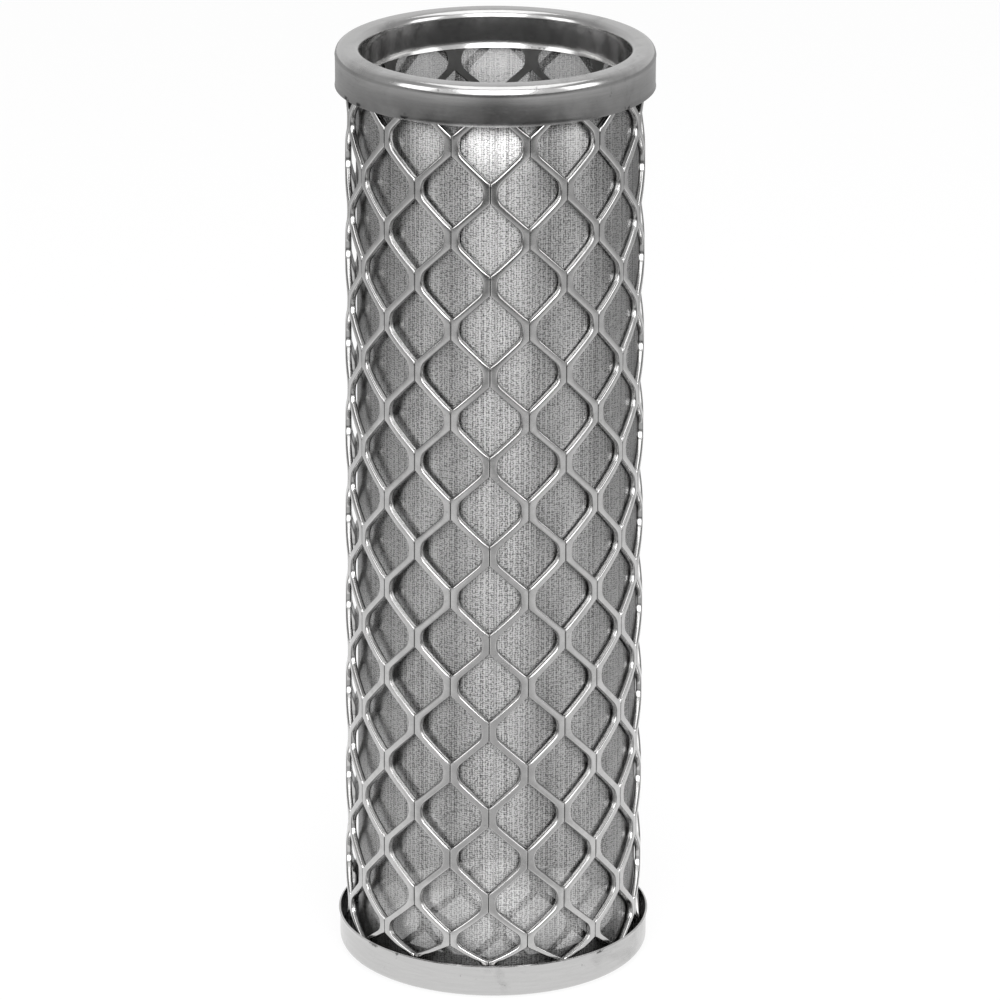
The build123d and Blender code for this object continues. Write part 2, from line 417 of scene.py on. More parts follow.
@dataclass(frozen=True)
class CuredResin:
    """Dark grey potting resin with a faint orange-peel surface."""

    name: str = "cured_resin"
    level: float = 0.035
    roughness: float = 0.42

    def build(self) -> bpy.types.Material:
        """Builds the material.

        Returns:
            The material.
        """
        material = bpy.data.materials.new(self.name)
        material.use_nodes = True
        graph = Graph(material.node_tree)
        shader = material.node_tree.nodes["Principled BSDF"]
        where = graph.node("ShaderNodeTexCoord").outputs["Object"]
        cloud = graph.noise(where, 210.0, 4.0, 0.6)
        graph.feed(shader.inputs["Base Color"],
                   graph.blend(cloud, grey(self.level), grey(self.level * 1.7)))
        graph.feed(shader.inputs["Roughness"],
                   graph.remap(cloud, 0.3, 0.7, self.roughness, self.roughness + 0.15))
        bump = graph.node("ShaderNodeBump")
        bump.inputs["Strength"].default_value = 0.3
        bump.inputs["Distance"].default_value = 0.0002
        graph.feed(bump.inputs["Height"], cloud)
        graph.feed(shader.inputs["Normal"], bump.outputs[0])
        return material


TOP_CAP_STEEL = Steel("top_cap_steel", 0.50, 0.16, 0.04, 0.34, scratch=0.000006,
                      nicks=(0.2401,), soot=(0.2396, 0.2490))
BOTTOM_CAP_STEEL = Steel("bottom_cap_steel", 0.60, 0.19, 0.025, 0.32, scratch=0.000005,
                         stain_scale=42.0, nicks=(0.0087, 0.0009))
GUARD_STEEL = Steel("guard_steel", 0.60, 0.14, 0.05, 0.20, scratch=0.000002,
                    grain=(2.0, 2.0, 2.0), stain_scale=90.0, skin=(0.03995, 0.03878))
CORE_STEEL = Steel("core_steel", 0.32, 0.34, 0.08, 0.20, scratch=0.000003,
                   grain=(2.0, 2.0, 2.0), stain_scale=90.0)
CLOTH = WireCloth("wire_cloth", 0.69, 0.58, 0.37, 0.00070, 0.00062)
RESIN = CuredResin()


# Mesh helpers


def new_object(name: str, mesh: bpy.types.Mesh) -> bpy.types.Object:
    """Puts a mesh into the scene at the origin.

    Args:
        name: the object's name.
        mesh: its mesh.

    Returns:
        The object.
    """
    thing = bpy.data.objects.new(name, mesh)
    bpy.context.scene.collection.objects.link(thing)
    return thing


def settle(thing: bpy.types.Object) -> bpy.types.Object:
    """Replaces an object's modifiers by their result as a plain mesh.

    Args:
        thing: the object with live modifiers.

    Returns:
        The same object.
    """
    depsgraph = bpy.context.evaluated_depsgraph_get()
    mesh = bpy.data.meshes.new_from_object(
        thing.evaluated_get(depsgraph), preserve_all_data_layers=True, depsgraph=depsgraph
    )
    mesh.name = thing.name
    thing.modifiers.clear()
    thing.data = mesh
    return thing


def dress(thing: bpy.types.Object, material: bpy.types.Material, slot: str,
          *nodes: str) -> bpy.types.Object:
    """Gives a finished piece its material and body, and hides the CAD nodes it stands for.

    Args:
        thing: the piece.
        material: its material.
        slot: not used.
        nodes: CAD nodes that the piece stands for.

    Returns:
        The piece.
    """
    thing.data.materials.clear()
    thing.data.materials.append(material)
    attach(thing, ROOT)
    if nodes:
        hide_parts(*nodes)
    log.info("%s: %d faces", thing.name, len(thing.data.polygons))
    return thing


def shade(mesh: bpy.types.Mesh, angle: float = 32.0) -> None:
    """Shades a mesh smooth, with sharp edges where it turns more than an angle.

    Args:
        mesh: the mesh.
        angle: the limit in degrees.
    """
    form = bmesh.new()
    form.from_mesh(mesh)
    limit = math.radians(angle)
    for face in form.faces:
        face.smooth = True
    for edge in form.edges:
        if len(edge.link_faces) == 2:
            edge.smooth = edge.calc_face_angle(0.0) < limit
    form.to_mesh(mesh)
    form.free()


def arc(centre: Point, radius: float, start: float, end: float, steps: int) -> list[Point]:
    """Gives points along an arc in the half section.

    Args:
        centre: its centre (r, z).
        radius: its radius.
        start: first angle in degrees, from +r towards +z.
        end: last angle.
        steps: number of segments.

    Returns:
        The points, both ends included.
    """
    turns = [math.radians(start + (end - start) * i / steps) for i in range(steps + 1)]
    return [(centre[0] + radius * math.cos(t), centre[1] + radius * math.sin(t)) for t in turns]


# End caps


@dataclass
class ChannelRing:
    """One drawn end cap: skirt, rounded crest and inner flange, in millimetres.

    The section is drawn with its crest at height 0, opening downward.
    """

    name: str
    slot: str
    skirt_r: float
    bore_r: float
    skirt_depth: float
    flange_depth: float
    rounding_out: float
    rounding_in: float
    flare: float
    turn_in: float
    sheet: float = 0.5
    band: float = 1.4
    lip: float = 2.2
    bead: float = 0.10
    crest_z: float = 250.0
    upside_down: bool = False
    segments: int = 256

    def outer_line(self) -> list[Point]:
        """Gives the visible face of the sheet, from skirt edge to flange edge.

        Returns:
            Points (r, z) of the face.
        """
        out_c = (self.skirt_r - self.rounding_out, -self.rounding_out)
        in_c = (self.bore_r + self.rounding_in, -self.rounding_in)
        line = [(self.skirt_r + self.flare, -self.skirt_depth)]
        line += [
            (self.skirt_r + self.flare * (1 - i / 5) ** 2, -self.skirt_depth + self.band * i / 5)
            for i in range(1, 6)
        ]
        middle = (-self.skirt_depth + self.band - self.rounding_out) / 2
        line.append((self.skirt_r, middle))
        line.append((self.skirt_r + self.bead * 0.2, -self.rounding_out - 0.9))
        line.append((self.skirt_r + self.bead, -self.rounding_out - 0.25))
        line += arc(out_c, self.rounding_out, 0, 90, 9)[1:]
        line += arc(in_c, self.rounding_in, 90, 180, 8)
        line.append((self.bore_r, -self.flange_depth * 0.5))
        steps = 6
        for i in range(steps + 1):
            share = i / steps
            drop = -self.flange_depth + self.lip * (1 - share)
            line.append((self.bore_r - self.turn_in * share**2, drop))
        return line

    def section(self) -> list[Point]:
        """Gives the closed half section of the sheet.

        Returns:
            Points (r, z), outer face first.
        """
        outer = self.outer_line()
        inner = []
        for i, point in enumerate(outer):
            before = Vector(outer[max(i - 1, 0)])
            after = Vector(outer[min(i + 1, len(outer) - 1)])
            way = (after - before).normalized()
            inner.append((point[0] + way[1] * -self.sheet, point[1] + way[0] * self.sheet))
        return outer + inner[::-1]

    def build(self) -> bpy.types.Object:
        """Spins the section round the axis.

        Returns:
            The cap's object.
        """
        section = self.section()
        form = bmesh.new()
        rings = []
        for i in range(self.segments):
            turn = 2 * math.pi * i / self.segments
            ring = []
            for r, z in section:
                height = -z if self.upside_down else self.crest_z + z
                ring.append(form.verts.new((r * math.sin(turn) * MM, -r * math.cos(turn) * MM, height * MM)))
            rings.append(ring)
        count = len(section)
        for i in range(self.segments):
            here, there = rings[i], rings[(i + 1) % self.segments]
            for j in range(count):
                k = (j + 1) % count
                form.faces.new((here[j], here[k], there[k], there[j]))
        bmesh.ops.recalc_face_normals(form, faces=form.faces)
        mesh = bpy.data.meshes.new(self.name)
        form.to_mesh(mesh)
        form.free()
        shade(mesh, 40.0)
        return new_object(self.name, mesh)


# Expanded metal


class Stage(Enum):
    """Kinds of expanded-metal tube in the element."""

    GUARD = "outer_guard"
    CORE = "inner_core"


@dataclass
class ExpandedTube:
    """An expanded-metal tube, its sizes in millimetres.

    One flat tile, a cell wide and a pitch high, is repeated and rolled up by
    geometry nodes.
    """

    kind: Stage
    slot: str
    cells: int
    rows: int
    pitch: float
    strand: float
    depth: float
    radius_low: float
    radius_high: float
    phase: float
    bond_z: float
    bottom: float = 2.05
    top: float = 245.65
    bend: float = 3.5
    half_bond: float = 2.65
    crease_rounding: float = 0.40
    lower_rounding: float = 0.45
    upper_rounding: float = 0.60
    wander: float = 0.05
    crowding: float = 0.0
    sag: float = 0.0
    lean_out: Point = (0.0, 0.0)
    seed: int = 4

    @property
    def step(self) -> float:
        """Distance between neighbouring bond lines at the mean radius."""
        return math.pi * (self.radius_low + self.radius_high) / (2 * self.cells)

    def edges(self) -> list[tuple[Point, Point]]:
        """Gives the left and right edge points of a strand from bond to bond.

        The strand falls from the bond line at x 0 to the bond line one step
        to the right, half a pitch lower, and it is alike turned end for end.
        Its edge at the cell's corner is bent, and its edge at the crotch is
        straight.

        Returns:
            Pairs of (x, z) points, from top to bottom.
        """
        lean = self.lean()
        start = self.corner_start(lean)
        way = (math.sin(lean), -math.cos(lean))
        run = (self.strand + self.bend) * (1 - math.cos(lean)) / math.sin(lean)
        first = [((0.0, 0.0), (self.strand, 0.0))]
        for share in (0.0, 0.25, 0.5, 0.75, 1.0):
            turn = lean * share
            right = (self.strand + self.bend * (1 - math.cos(turn)),
                     -start - self.bend * math.sin(turn))
            down = min(share * 2, 1.0)
            along = max(share * 2 - 1, 0.0) * run
            height = -start - (self.half_bond - start) * down
            first.append(((way[0] * along, height + way[1] * along), right))
        last = [(self.turned(r), self.turned(l)) for l, r in reversed(first)]
        middle = [
            (self.between(first[-1][0], last[0][0], share),
             self.between(first[-1][1], last[0][1], share))
            for share in (1 / 3, 2 / 3)
        ]
        return first + middle + last

    def corner_start(self, lean: float) -> float:
        """Gives the height below a bond's middle at which the cell's corner starts to bend."""
        return self.half_bond - (self.strand + self.bend) * math.tan(lean / 2)

    def turned(self, point: Point) -> Point:
        """Turns a point (x, z) half round the middle of the strand."""
        return (self.step - point[0], -self.pitch / 2 - point[1])

    @staticmethod
    def between(start: Point, end: Point, share: float) -> Point:
        """Gives a point on the line from start to end."""
        return (start[0] + (end[0] - start[0]) * share, start[1] + (end[1] - start[1]) * share)

    def lean(self) -> float:
        """Finds the slope at which a strand's straight crotch edge meets both bonds.

        Returns:
            The lean from upright in radians.
        """
        low, high = 0.2, 1.2
        for _ in range(40):
            lean = (low + high) / 2
            bend = (self.strand + self.bend * (1 - math.cos(lean)),
                    -self.corner_start(lean) - self.bend * math.sin(lean))
            end = self.turned(bend)
            if math.atan2(end[0], -self.half_bond - end[1]) > lean:
                low = lean
            else:
                high = lean
        return lean

    def section(self, left: Point, right: Point, soft_left: float,
                soft_right: float) -> list[tuple[float, float, float]]:
        """Gives a strand's section between two edge points.

        Args:
            left: (x, z) of the left edge.
            right: (x, z) of the right edge.
            soft_left: rounding of the outer left corner.
            soft_right: rounding of the outer right corner.

        Returns:
            Points (x, radial, z); radial is 0 on the outer face.
        """
        width = math.dist(left, right)
        turns = [math.pi / 2 * share for share in (0.0, 0.3, 0.55, 0.78, 1.0)]
        ring = [(soft_left * (1 - math.cos(t)), soft_left * (math.sin(t) - 1)) for t in turns]
        ring += [
            (width - soft_right * (1 - math.cos(t)), soft_right * (math.sin(t) - 1))
            for t in reversed(turns)
        ]
        ring += [(width, -self.depth), (0.0, -self.depth)]
        along = ((right[0] - left[0]) / width, (right[1] - left[1]) / width)
        return [(left[0] + along[0] * s, d, left[1] + along[1] * s) for s, d in ring]

    def strand_sections(self) -> list[list[tuple[float, float, float]]]:
        """Gives the sections of one strand over a pitch, down and to the right, then back.

        The edge that faces upward is well rounded on the slope, and the crease
        between two bonded strands is crisp.

        Returns:
            The sections from top to bottom.
        """
        crisp, lower, upper = self.crease_rounding, self.lower_rounding, self.upper_rounding
        found = []
        pairs = self.edges()
        for i, (left, right) in enumerate(pairs):
            share = i / (len(pairs) - 1)
            slope = min(max(1.5 - abs(share - 0.5) * 4.4, 0.0), 1.0)
            ends = (crisp, lower) if share < 0.5 else (lower, crisp)
            found.append((left, right, ends[0] + (lower - ends[0]) * slope,
                          ends[1] + (upper - ends[1]) * slope))
        fall = [self.section(*item) for item in found]
        back = [
            self.section((l[0], -self.pitch - l[1]), (r[0], -self.pitch - r[1]), low, up)
            for l, r, low, up in self.upside(found)
        ]
        return fall + back[1:]

    @staticmethod
    def upside(found: list[tuple]) -> list[tuple]:
        """Gives a strand's edges from bottom to top, the upward edge still the rounder.

        Args:
            found: left edge, right edge, left and right rounding, from top to bottom.

        Returns:
            The same, in the other order and with the slope's roundings swapped.
        """
        return [
            (left, right, opposite[3], opposite[2])
            for (left, right, _, _), opposite in zip(reversed(found), found)
        ]

    def tile(self) -> bpy.types.Mesh:
        """Builds the flat tile: both strands of one cell over one pitch.

        Where two strands are bonded, the wall between them is left out.

        Returns:
            The tile's mesh, in metres, open where it joins the next tiles.
        """
        strand = self.strand_sections()
        twin = [[(2 * self.step - x, y, z) for x, y, z in ring] for ring in strand]
        count = len(strand[0])
        middle, last = (len(strand) - 1) // 2, len(strand) - 2
        bonded = {i: count - 1 for i in (0, 1, 2, last - 2, last - 1, last)}
        bonded |= {i: count - 3 for i in range(middle - 3, middle + 3)}
        form = bmesh.new()
        for rings in (strand, twin):
            made = [[form.verts.new(tuple(c * MM for c in p)) for p in ring] for ring in rings]
            for i, (here, there) in enumerate(zip(made, made[1:])):
                for j in range(count):
                    if bonded.get(i) != j:
                        k = (j + 1) % count
                        form.faces.new((here[j], here[k], there[k], there[j]))
        bmesh.ops.recalc_face_normals(form, faces=form.faces)
        mesh = bpy.data.meshes.new(self.kind.value + "_tile")
        form.to_mesh(mesh)
        form.free()
        return mesh

    def roll_tree(self) -> bpy.types.NodeTree:
        """Builds the geometry nodes that repeat the tile and roll it up.

        Returns:
            The node group.
        """
        tree = bpy.data.node_groups.new(self.kind.value + "_roll", "GeometryNodeTree")
        face = tree.interface
        face.new_socket("Geometry", in_out="INPUT", socket_type="NodeSocketGeometry")
        face.new_socket("Cells", in_out="INPUT", socket_type="NodeSocketInt")
        face.new_socket("Rows", in_out="INPUT", socket_type="NodeSocketInt")
        for name in ("Cell Width", "Pitch", "First Height", "Radius Low", "Radius High",
                     "Bottom", "Top", "Phase", "Wander", "Crowding", "Sag", "Lean Top",
                     "Lean Foot"):
            face.new_socket(name, in_out="INPUT", socket_type="NodeSocketFloat")
        face.new_socket("Seed", in_out="INPUT", socket_type="NodeSocketInt")
        face.new_socket("Material", in_out="INPUT", socket_type="NodeSocketMaterial")
        face.new_socket("Geometry", in_out="OUTPUT", socket_type="NodeSocketGeometry")
        g = Graph(tree)
        given = g.node("NodeGroupInput").outputs

        grid = g.node("GeometryNodeMeshLine", mode="OFFSET")
        total = g.math("MULTIPLY", given["Cells"], given["Rows"])
        g.feed(grid.inputs["Count"], total)
        grid.inputs["Offset"].default_value = (0.0, 0.0, 0.0)
        index = g.node("GeometryNodeInputIndex").outputs[0]
        column = g.math("MODULO", index, given["Cells"])
        row = g.math("FLOOR", g.math("DIVIDE", index, given["Cells"]))
        place = g.node("ShaderNodeCombineXYZ")
        g.feed(place.inputs[0], g.math("MULTIPLY", column, given["Cell Width"]))
        g.feed(place.inputs[2], g.math(
            "SUBTRACT", given["First Height"], g.math("MULTIPLY", row, given["Pitch"])))
        put = g.node("GeometryNodeSetPosition")
        g.feed(put.inputs["Geometry"], grid.outputs[0])
        g.feed(put.inputs["Position"], place.outputs[0])
        copies = g.node("GeometryNodeInstanceOnPoints")
        g.feed(copies.inputs["Points"], put.outputs[0])
        g.feed(copies.inputs["Instance"], given["Geometry"])
        real = g.node("GeometryNodeRealizeInstances")
        g.feed(real.inputs[0], copies.outputs[0])

        spot = g.node("ShaderNodeSeparateXYZ")
        g.feed(spot.inputs[0], g.node("GeometryNodeInputPosition").outputs[0])
        across, radial, flat_height = spot.outputs[0], spot.outputs[1], spot.outputs[2]
        near_foot = g.math("DIVIDE", g.math("SUBTRACT", 0.024, flat_height), 0.020, clamp=True)
        girth = g.math("MULTIPLY", given["Cells"], given["Cell Width"])
        turn = g.math("MULTIPLY", g.math("DIVIDE", across, girth), 2 * math.pi)
        turn = g.math("ADD", turn, given["Phase"])
        around = g.math("COSINE", g.math("ADD", turn, math.radians(12.0)))
        uneven = g.math("MAXIMUM", g.math("MULTIPLY_ADD", around, 0.84, 0.17), 0.45)
        lift = g.math("MULTIPLY", g.math("MULTIPLY", near_foot, near_foot),
                      g.math("MULTIPLY", given["Crowding"], uneven))
        aside = g.remap(g.math("SUBTRACT", 1.0, g.math("COSINE", turn)), 0.0, 0.62)
        drop = g.math("MULTIPLY", given["Sag"], aside)
        height = g.math("SUBTRACT", g.math("ADD", flat_height, lift), drop)
        share = g.math("DIVIDE", g.math("SUBTRACT", height, given["Bottom"]),
                       g.math("SUBTRACT", given["Top"], given["Bottom"]))
        taper = g.math("SUBTRACT", given["Radius High"], given["Radius Low"])
        radius = g.math("ADD", given["Radius Low"], g.math("MULTIPLY", taper, share))
        circle = g.node("ShaderNodeCombineXYZ")
        g.feed(circle.inputs[0], g.math("SINE", turn))
        g.feed(circle.inputs[1], g.math("COSINE", turn))
        g.feed(circle.inputs[2], g.math("MULTIPLY", height, 14.0))
        waver = g.node("ShaderNodeTexNoise")
        waver.noise_dimensions = "4D"
        g.feed(waver.inputs["Vector"], circle.outputs[0])
        g.feed(waver.inputs["W"], given["Seed"])
        waver.inputs["Scale"].default_value = 1.6
        waver.inputs["Detail"].default_value = 1.0
        shift = g.math("MULTIPLY", g.math("SUBTRACT", waver.outputs[0], 0.5), given["Wander"])
        radius = g.math("ADD", g.math("ADD", radius, radial), shift)
        rolled = g.node("ShaderNodeCombineXYZ")
        lean = g.remap(g.math("SUBTRACT", given["Top"], height), 0.0, 0.045,
                       given["Lean Top"], given["Lean Foot"])
        g.feed(rolled.inputs[0], g.math(
            "ADD", g.math("MULTIPLY", radius, g.math("SINE", turn)), lean))
        g.feed(rolled.inputs[1], g.math("MULTIPLY", g.math("MULTIPLY", radius, -1.0),
                                        g.math("COSINE", turn)))
        g.feed(rolled.inputs[2], height)
        wrap = g.node("GeometryNodeSetPosition")
        g.feed(wrap.inputs["Geometry"], real.outputs[0])
        g.feed(wrap.inputs["Position"], rolled.outputs[0])
        joined = g.node("GeometryNodeMergeByDistance")
        g.feed(joined.inputs["Geometry"], wrap.outputs[0])
        joined.inputs["Distance"].default_value = 0.000002
        again = g.node("GeometryNodeRealizeInstances")
        g.feed(again.inputs[0], joined.outputs[0])
        coat = g.node("GeometryNodeSetMaterial")
        g.feed(coat.inputs["Geometry"], again.outputs[0])
        g.feed(coat.inputs["Material"], given["Material"])
        g.feed(g.node("NodeGroupOutput").inputs[0], coat.outputs[0])
        return tree

    def build(self, material: bpy.types.Material) -> bpy.types.Object:
        """Builds the tube and trims it to its length.

        Args:
            material: the tube's material.

        Returns:
            The tube's object.
        """
        piece = new_object(self.kind.value + "_shaped", self.tile())
        tree = self.roll_tree()
        values = {
            "Cells": self.cells, "Rows": self.rows, "Cell Width": 2 * self.step * MM,
            "Pitch": self.pitch * MM, "First Height": self.bond_z * MM,
            "Radius Low": self.radius_low * MM, "Radius High": self.radius_high * MM,
            "Bottom": self.bottom * MM, "Top": self.top * MM,
            "Phase": math.radians(self.phase), "Wander": self.wander * MM,
            "Crowding": self.crowding * MM, "Sag": self.sag * MM, "Lean Top": self.lean_out[0] * MM,
            "Lean Foot": self.lean_out[1] * MM, "Seed": self.seed, "Material": material,
        }
        modifier = piece.modifiers.new("roll", "NODES")
        modifier.node_group = tree
        for item in tree.interface.items_tree:
            if item.in_out == "INPUT" and item.name in values:
                modifier[item.identifier] = values[item.name]
        settle(piece)
        self.trim(piece.data)
        shade(piece.data, 50.0)
        return piece

    def trim(self, mesh: bpy.types.Mesh) -> None:
        """Cuts the tube at its two ends and closes every strand there.

        Args:
            mesh: the rolled mesh.
        """
        form = bmesh.new()
        form.from_mesh(mesh)
        for height, way in ((self.top, 1.0), (self.bottom, -1.0)):
            everything = form.verts[:] + form.edges[:] + form.faces[:]
            bmesh.ops.bisect_plane(form, geom=everything, dist=1e-7,
                                   plane_co=(0, 0, height * MM), plane_no=(0, 0, way),
                                   clear_outer=True)
        open_edges = [edge for edge in form.edges if edge.is_boundary]
        bmesh.ops.holes_fill(form, edges=open_edges, sides=0)
        bmesh.ops.recalc_face_normals(form, faces=form.faces)
        form.to_mesh(mesh)
        form.free()


# Wire cloth


@dataclass
class ScreenTube:
    """The woven cloth tube with a lap seam, its sizes in millimetres."""

    radius_low: float = 37.33
    radius_high: float = 36.73
    wall: float = 0.28
    bottom: float = 2.05
    top: float = 245.65
    wires: int = 432
    ridge: float = 0.07
    seam_centre: float = 110.0
    seam_half: float = 5.0
    seam_raise: float = 0.20
    levels: int = 12
    lean_out: Point = (0.45, 0.80)

    def radius(self, degrees: float, share: float, wire: int) -> float:
        """Gives the cloth's outer radius.

        Args:
            degrees: place round the tube.
            share: height share, 0 at the bottom.
            wire: half-step number round the tube.

        Returns:
            The radius.
        """
        base = self.radius_low + (self.radius_high - self.radius_low) * share
        if abs(degrees - self.seam_centre) <= self.seam_half:
            base += self.seam_raise
        return base - (self.ridge if wire % 2 else 0.0)

    def lean(self, height: float) -> float:
        """Gives how far the cloth lies off the axis at a height, both in millimetres."""
        share = min((self.top - height) / 45.0, 1.0)
        share = share * share * (3.0 - 2.0 * share)
        return self.lean_out[0] + (self.lean_out[1] - self.lean_out[0]) * share

    def build(self) -> bpy.types.Object:
        """Builds the closed thin wall, with a UV map in metres round and up.

        Returns:
            The cloth's object.
        """
        form = bmesh.new()
        layer = form.loops.layers.uv.new("cloth")
        side = form.faces.layers.float.new("inside")
        count = self.wires * 2
        outer, inner = [], []
        for level in range(self.levels + 1):
            share = level / self.levels
            z = (self.bottom + (self.top - self.bottom) * share) * MM
            rows: tuple[list, list] = ([], [])
            for i in range(count):
                degrees = 360.0 * i / count
                turn = math.radians(degrees)
                radius = self.radius(degrees, share, i)
                for row, r in zip(rows, (radius, radius - self.wall)):
                    x = r * math.sin(turn) + self.lean(z / MM)
                    row.append(form.verts.new((x * MM, -r * MM * math.cos(turn), z)))
            outer.append(rows[0])
            inner.append(rows[1])
        girth = 2 * math.pi * self.radius_low * MM

        def face(corners: tuple, i: int, inside: float = 0.0) -> None:
            """Adds a face and its UV corners; inside is 1 on the inner wall."""
            made = form.faces.new(corners)
            made.smooth = True
            made[side] = inside
            for loop in made.loops:
                vert = loop.vert
                turn = math.atan2(vert.co.x, -vert.co.y) % (2 * math.pi)
                if i == count - 1 and turn < math.pi:
                    turn += 2 * math.pi
                loop[layer].uv = (turn / (2 * math.pi) * girth, vert.co.z)

        for low in range(self.levels):
            for i in range(count):
                j = (i + 1) % count
                a, b = outer[low], outer[low + 1]
                face((a[i], a[j], b[j], b[i]), i)
                c, d = inner[low], inner[low + 1]
                face((c[j], c[i], d[i], d[j]), i, 1.0)
        for level, flip in ((0, True), (self.levels, False)):
            for i in range(count):
                j = (i + 1) % count
                a, c = outer[level], inner[level]
                corners = (a[i], c[i], c[j], a[j]) if flip else (a[j], c[j], c[i], a[i])
                face(corners, i)
        mesh = bpy.data.meshes.new("mesh_screen_cloth")
        bmesh.ops.recalc_face_normals(form, faces=form.faces)
        form.to_mesh(mesh)
        form.free()
        return new_object("mesh_screen_cloth", mesh)


# Camera, floor and light


@dataclass(frozen=True)
class PhotoView:
    """The camera that sees the element as the picture does."""

    distance: float = 1.43795
    height: float = 0.635332
    focal_px: float = 5760.2
    pitch: float = 19.521
    yaw: float = 0.061
    roll: float = 0.178

    def build(self) -> bpy.types.Object:
        """Makes the camera and sets it as the scene's.

        Returns:
            The camera.
        """
        data = bpy.data.cameras.new("photo_view")
        data.sensor_width = 36.0
        data.lens = self.focal_px * 36.0 / 1000.0
        data.clip_end = 50.0
        camera = bpy.data.objects.new("photo_view", data)
        bpy.context.scene.collection.objects.link(camera)
        pitch, yaw, roll = (math.radians(a) for a in (self.pitch, self.yaw, self.roll))
        ahead = Vector((math.sin(yaw) * math.cos(pitch), math.cos(yaw) * math.cos(pitch), -math.sin(pitch)))
        right = Vector((math.cos(yaw), -math.sin(yaw), 0.0))
        up = right.cross(ahead)
        right, up = (right * math.cos(roll) + up * math.sin(roll),
                     up * math.cos(roll) - right * math.sin(roll))
        turned = Matrix((right, up, -ahead)).transposed().to_4x4()
        turned.translation = (0.0, -self.distance, self.height)
        camera.matrix_world = turned
        bpy.context.scene.camera = camera
        return camera


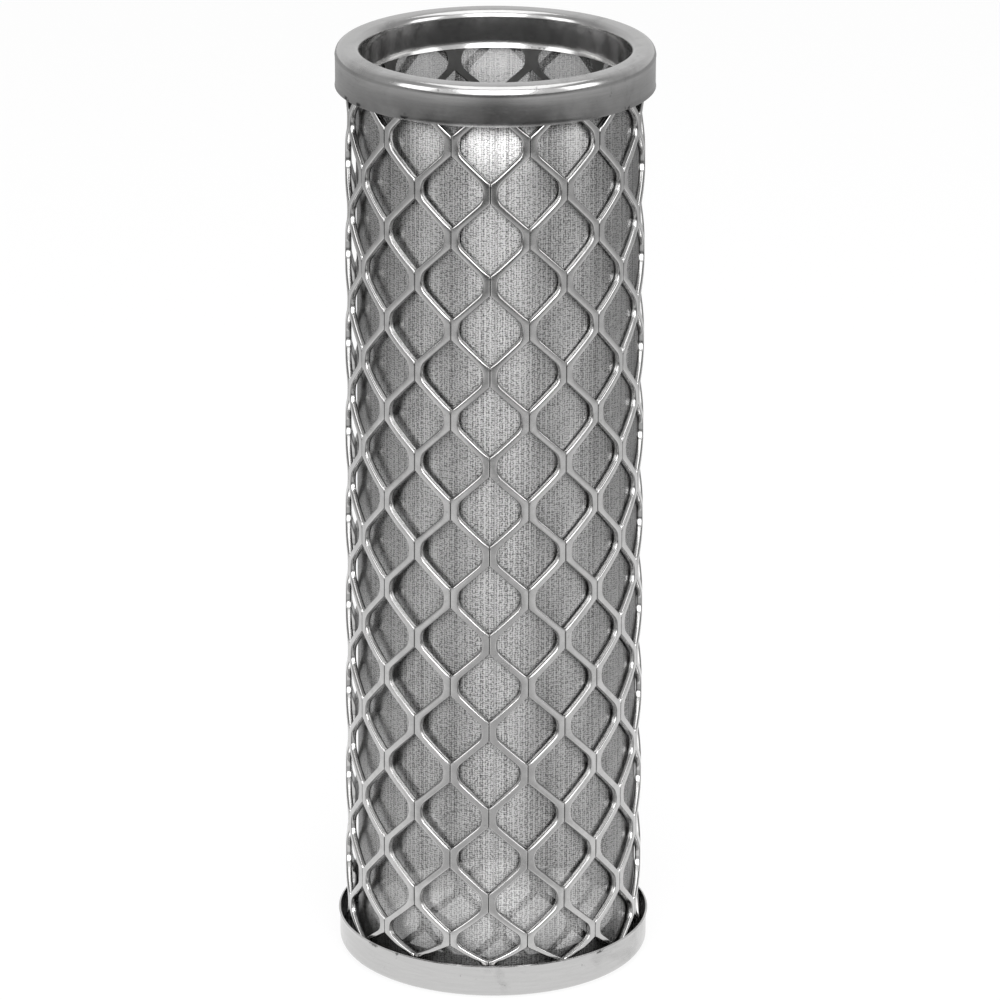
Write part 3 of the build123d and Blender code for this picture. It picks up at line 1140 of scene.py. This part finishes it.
@dataclass(frozen=True)
class Studio:
    """Plain pale floor, white surroundings and soft lamps."""

    floor_radius: float = 6.0
    floor_z: float = -0.0004

    def build(self) -> None:
        """Makes the floor, the surroundings and the lamps."""
        self.floor()
        self.surroundings()
        self.lamp("top_soft", (0.1, 0.0, 1.5), (0.0, 0.0, 0.1), (1.2, 1.2), 7.0)
        self.lamp("front_soft", (0.0, -1.9, 1.15), (0.0, 0.0, 0.15), (1.8, 1.6), 43.0)
        self.lamp("left_soft", (-1.5, -0.9, 0.8), (0.0, 0.0, 0.12), (0.8, 1.0), 6.0)
        self.lamp("right_soft", (1.5, -0.7, 0.85), (0.0, 0.0, 0.12), (0.8, 1.0), 6.0)
        bpy.context.scene.view_settings.view_transform = "Standard"

    def floor(self) -> None:
        """Makes the floor, white to the camera and paler than the front room to gloss."""
        form = bmesh.new()
        bmesh.ops.create_circle(form, cap_ends=True, segments=96, radius=self.floor_radius)
        bmesh.ops.translate(form, verts=form.verts, vec=(0, 0, self.floor_z))
        mesh = bpy.data.meshes.new("floor")
        form.to_mesh(mesh)
        form.free()
        floor = new_object("floor", mesh)
        material = bpy.data.materials.new("pale_paper")
        material.use_nodes = True
        tree = material.node_tree
        graph = Graph(tree)
        paper = tree.nodes["Principled BSDF"]
        paper.inputs["Base Color"].default_value = (0.86, 0.86, 0.86, 1.0)
        paper.inputs["Roughness"].default_value = 0.9
        paper.inputs["Specular IOR Level"].default_value = 0.1
        glow = graph.node("ShaderNodeEmission")
        glow.inputs[0].default_value = (1.0, 1.0, 1.0, 1.0)
        split = graph.node("ShaderNodeSeparateXYZ")
        graph.feed(split.inputs[0], graph.node("ShaderNodeTexCoord").outputs["Object"])
        front = graph.math("MULTIPLY", split.outputs[1], -1.0)
        near = graph.math("MAXIMUM", graph.remap(front, 0.062, 0.10, 0.95, 0.58),
                          graph.remap(graph.math("ABSOLUTE", split.outputs[0]), 0.05, 0.22,
                                      0.58, 0.84))
        ahead = graph.math("MULTIPLY", near, graph.remap(front, 0.38, 0.95, 1.0, 0.18))
        reach = graph.node("ShaderNodeVectorMath", operation="LENGTH")
        graph.feed(reach.inputs[0], graph.node("ShaderNodeTexCoord").outputs["Object"])
        aside = graph.remap(reach.outputs["Value"], 0.15, 1.0, 0.95, 0.42)
        dim = graph.math("MINIMUM", ahead, aside)
        far = graph.node("ShaderNodeEmission")
        graph.feed(far.inputs[1], dim)
        rays = graph.node("ShaderNodeLightPath").outputs
        seen = graph.node("ShaderNodeMixShader")
        graph.feed(seen.inputs[0], rays["Is Glossy Ray"])
        graph.feed(seen.inputs[1], paper.outputs[0])
        graph.feed(seen.inputs[2], far.outputs[0])
        soft = graph.node("ShaderNodeMixShader")
        graph.feed(soft.inputs[0], graph.math("MULTIPLY", rays["Is Camera Ray"], 0.85))
        graph.feed(soft.inputs[1], seen.outputs[0])
        graph.feed(soft.inputs[2], glow.outputs[0])
        graph.feed(tree.nodes["Material Output"].inputs[0], soft.outputs[0])
        mesh.materials.append(material)

    def surroundings(self) -> None:
        """Makes the world, a little paler in front than behind."""
        world = bpy.data.worlds.new("studio")
        world.use_nodes = True
        bpy.context.scene.world = world
        tree = world.node_tree
        graph = Graph(tree)
        back = tree.nodes["Background"]
        where = graph.node("ShaderNodeTexCoord").outputs["Generated"]
        split = graph.node("ShaderNodeSeparateXYZ")
        graph.feed(split.inputs[0], where)
        front = graph.math("MULTIPLY", split.outputs[1], -1.0)
        tone = graph.math("MAXIMUM", graph.remap(front, 0.15, 0.75, 0.50, 1.0),
                          graph.remap(split.outputs[1], 0.15, 0.75, 0.50, 0.80))
        rays = graph.node("ShaderNodeLightPath").outputs
        plain = graph.math("MAXIMUM", rays["Is Camera Ray"], rays["Is Transmission Ray"])
        strength = graph.blend(plain, tone, (1.0, 1.0, 1.0, 1.0))
        graph.feed(back.inputs[0], strength)
        back.inputs[1].default_value = 1.0

    def lamp(self, name: str, place: tuple[float, float, float],
             target: tuple[float, float, float], size: tuple[float, float],
             power: float) -> None:
        """Makes one soft rectangular lamp.

        Args:
            name: the lamp's name.
            place: where it is, in metres.
            target: what it points at.
            size: its two sides.
            power: its power in watts.
        """
        data = bpy.data.lights.new(name, "AREA")
        data.shape = "RECTANGLE"
        data.size, data.size_y = size
        data.energy = power
        lamp = bpy.data.objects.new(name, data)
        bpy.context.scene.collection.objects.link(lamp)
        lamp.location = place
        lamp.rotation_euler = (Vector(target) - Vector(place)).to_track_quat("-Z", "Y").to_euler()


# The whole element


@dataclass
class FilterElement:
    """The element's sub-assemblies."""

    top_cap: ChannelRing = field(default_factory=lambda: ChannelRing(
        "top_end_cap_shaped", "top_cap", 41.4, 34.9, 10.4, 10.0, 2.0, 1.9, 0.12, 0.45))
    bottom_cap: ChannelRing = field(default_factory=lambda: ChannelRing(
        "bottom_end_cap_shaped", "bottom_cap", 41.5, 32.5, 9.0, 8.0, 2.0, 1.2, 0.35, 0.0,
        bead=0.0, upside_down=True))
    guard: ExpandedTube = field(default_factory=lambda: ExpandedTube(
        Stage.GUARD, "guard", 12, 12, 24.36, 1.95, 1.5, 39.95, 38.8, -1.73, 270.01,
        crowding=5.4, sag=1.45))
    core: ExpandedTube = field(default_factory=lambda: ExpandedTube(
        Stage.CORE, "core", 11, 11, 24.36, 1.8, 0.4, 36.25, 36.25, 165.3, 260.96,
        crease_rounding=0.10, lower_rounding=0.20, upper_rounding=0.25, wander=0.0,
        lean_out=(0.4, 0.6), seed=9))
    screen: ScreenTube = field(default_factory=ScreenTube)

    def build(self) -> None:
        """Builds and dresses every piece of the element."""
        dress(self.top_cap.build(), TOP_CAP_STEEL.build(), "top_cap", "top_end_cap")
        dress(self.bottom_cap.build(), BOTTOM_CAP_STEEL.build(), "bottom_cap", "bottom_end_cap")
        steel = GUARD_STEEL.build()
        dress(self.guard.build(steel), steel, "guard", "outer_guard")
        steel = CORE_STEEL.build()
        dress(self.core.build(steel), steel, "core", "inner_core")
        dress(self.screen.build(), CLOTH.build(), "screen", "mesh_screen")
        resin = RESIN.build()
        for node in ("top_bond_ring", "bottom_bond_ring"):
            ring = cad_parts[node]
            ring.data.materials.clear()
            ring.data.materials.append(resin)


def main() -> None:
    """Builds the camera, the studio and the element, and reports each piece."""
    logging.basicConfig(level=logging.INFO, format="%(name)s %(message)s")
    PhotoView().build()
    Studio().build()
    FilterElement().build()


if __name__ == "__main__":
    main()
